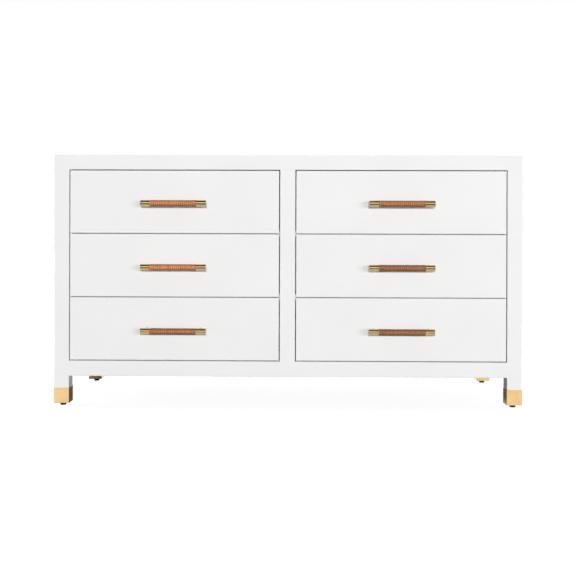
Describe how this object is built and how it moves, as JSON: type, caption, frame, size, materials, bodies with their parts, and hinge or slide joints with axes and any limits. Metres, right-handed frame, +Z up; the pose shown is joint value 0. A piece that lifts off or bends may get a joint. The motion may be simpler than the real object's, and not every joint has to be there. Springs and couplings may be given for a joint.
{
  "type": "campaign chest",
  "caption": "Long low campaign chest with inset flush drawers in two columns, bar pulls with wound grips, and square legs shod in brass on levelling feet.",
  "frame": {"origin": "on the floor, under the middle of the outline of the chest with its pulls, as seen from above", "axes": "+X to the right as one faces the drawers, +Y to the back, +Z up"},
  "size_m": [1.5256, 0.5458, 0.82],
  "materials": {
    "lacquer": "satin white lacquer over wood",
    "carcass_wood": "sealed birch plywood",
    "drawer_wood": "clear satin lacquer on solid maple",
    "brass": "satin, lacquered",
    "grip": "waxed tan lace, wound close",
    "slide_steel": "bright zinc plate",
    "leveller": "black"
  },
  "bodies": {
    "case": {"top_panel": "lacquer", "bottom_panel": "lacquer", "back_panel": "lacquer", "side_panel_left": "lacquer", "side_panel_right": "lacquer", "post_front_left": "lacquer", "post_front_right": "lacquer", "post_rear_left": "lacquer", "post_rear_right": "lacquer", "centre_stile_front": "lacquer", "centre_stile_rear": "lacquer", "centre_partition": "carcass_wood", "drawer_dividers": "lacquer", "slide_cleats": "carcass_wood", "ferrules": "brass", "top_rail_front": "lacquer", "top_rail_rear": "lacquer", "bottom_rail_front": "lacquer", "bottom_rail_rear": "lacquer", "slide_outer_members": "slide_steel"},
    "drawer_bottom_left": {"drawer_front_bottom_left": "lacquer", "drawer_box_bottom_left": "drawer_wood", "pull_bottom_left": "brass", "pull_grip_bottom_left": "grip", "slide_inner_bottom_left": "slide_steel"},
    "slide_bottom_left": {"slide_middle_bottom_left": "slide_steel"},
    "drawer_bottom_right": {"drawer_front_bottom_right": "lacquer", "drawer_box_bottom_right": "drawer_wood", "pull_bottom_right": "brass", "pull_grip_bottom_right": "grip", "slide_inner_bottom_right": "slide_steel"},
    "slide_bottom_right": {"slide_middle_bottom_right": "slide_steel"},
    "drawer_middle_left": {"drawer_front_middle_left": "lacquer", "drawer_box_middle_left": "drawer_wood", "pull_middle_left": "brass", "pull_grip_middle_left": "grip", "slide_inner_middle_left": "slide_steel"},
    "slide_middle_left": {"slide_middle_middle_left": "slide_steel"},
    "drawer_middle_right": {"drawer_front_middle_right": "lacquer", "drawer_box_middle_right": "drawer_wood", "pull_middle_right": "brass", "pull_grip_middle_right": "grip", "slide_inner_middle_right": "slide_steel"},
    "slide_middle_right": {"slide_middle_middle_right": "slide_steel"},
    "drawer_top_left": {"drawer_front_top_left": "lacquer", "drawer_box_top_left": "drawer_wood", "pull_top_left": "brass", "pull_grip_top_left": "grip", "slide_inner_top_left": "slide_steel"},
    "slide_top_left": {"slide_middle_top_left": "slide_steel"},
    "drawer_top_right": {"drawer_front_top_right": "lacquer", "drawer_box_top_right": "drawer_wood", "pull_top_right": "brass", "pull_grip_top_right": "grip", "slide_inner_top_right": "slide_steel"},
    "slide_top_right": {"slide_middle_top_right": "slide_steel"},
    "leveller_front_left": {"leveller_front_left": "leveller"},
    "leveller_front_right": {"leveller_front_right": "leveller"},
    "leveller_rear_left": {"leveller_rear_left": "leveller"},
    "leveller_rear_right": {"leveller_rear_right": "leveller"}
  },
  "joints": [
    {"name": "drawer_bottom_left_slide", "type": "slide", "parent": "case", "child": "drawer_bottom_left", "axis": [0, -1, 0], "range_m": [0, 0.45]},
    {"name": "slide_bottom_left_follow", "type": "slide", "parent": "case", "child": "slide_bottom_left", "axis": [0, -1, 0], "range_m": [0, 0.225]},
    {"name": "drawer_bottom_right_slide", "type": "slide", "parent": "case", "child": "drawer_bottom_right", "axis": [0, -1, 0], "range_m": [0, 0.45]},
    {"name": "slide_bottom_right_follow", "type": "slide", "parent": "case", "child": "slide_bottom_right", "axis": [0, -1, 0], "range_m": [0, 0.225]},
    {"name": "drawer_middle_left_slide", "type": "slide", "parent": "case", "child": "drawer_middle_left", "axis": [0, -1, 0], "range_m": [0, 0.45]},
    {"name": "slide_middle_left_follow", "type": "slide", "parent": "case", "child": "slide_middle_left", "axis": [0, -1, 0], "range_m": [0, 0.225]},
    {"name": "drawer_middle_right_slide", "type": "slide", "parent": "case", "child": "drawer_middle_right", "axis": [0, -1, 0], "range_m": [0, 0.45]},
    {"name": "slide_middle_right_follow", "type": "slide", "parent": "case", "child": "slide_middle_right", "axis": [0, -1, 0], "range_m": [0, 0.225]},
    {"name": "drawer_top_left_slide", "type": "slide", "parent": "case", "child": "drawer_top_left", "axis": [0, -1, 0], "range_m": [0, 0.45]},
    {"name": "slide_top_left_follow", "type": "slide", "parent": "case", "child": "slide_top_left", "axis": [0, -1, 0], "range_m": [0, 0.225]},
    {"name": "drawer_top_right_slide", "type": "slide", "parent": "case", "child": "drawer_top_right", "axis": [0, -1, 0], "range_m": [0, 0.45]},
    {"name": "slide_top_right_follow", "type": "slide", "parent": "case", "child": "slide_top_right", "axis": [0, -1, 0], "range_m": [0, 0.225]},
    {"name": "leveller_front_left_turn", "type": "hinge", "parent": "case", "child": "leveller_front_left", "pos_m": [-0.738, -0.21195, 0], "axis": [0, 0, 1], "continuous": true},
    {"name": "leveller_front_right_turn", "type": "hinge", "parent": "case", "child": "leveller_front_right", "pos_m": [0.738, -0.21195, 0], "axis": [0, 0, 1], "continuous": true},
    {"name": "leveller_rear_left_turn", "type": "hinge", "parent": "case", "child": "leveller_rear_left", "pos_m": [-0.738, 0.24805, 0], "axis": [0, 0, 1], "continuous": true},
    {"name": "leveller_rear_right_turn", "type": "hinge", "parent": "case", "child": "leveller_rear_right", "pos_m": [0.738, 0.24805, 0], "axis": [0, 0, 1], "continuous": true}
  ],
  "couplings": [
    {"joint": "slide_bottom_left_follow", "follows": "drawer_bottom_left_slide", "ratio": 0.5},
    {"joint": "slide_bottom_right_follow", "follows": "drawer_bottom_right_slide", "ratio": 0.5},
    {"joint": "slide_middle_left_follow", "follows": "drawer_middle_left_slide", "ratio": 0.5},
    {"joint": "slide_middle_right_follow", "follows": "drawer_middle_right_slide", "ratio": 0.5},
    {"joint": "slide_top_left_follow", "follows": "drawer_top_left_slide", "ratio": 0.5},
    {"joint": "slide_top_right_follow", "follows": "drawer_top_right_slide", "ratio": 0.5}
  ]
}
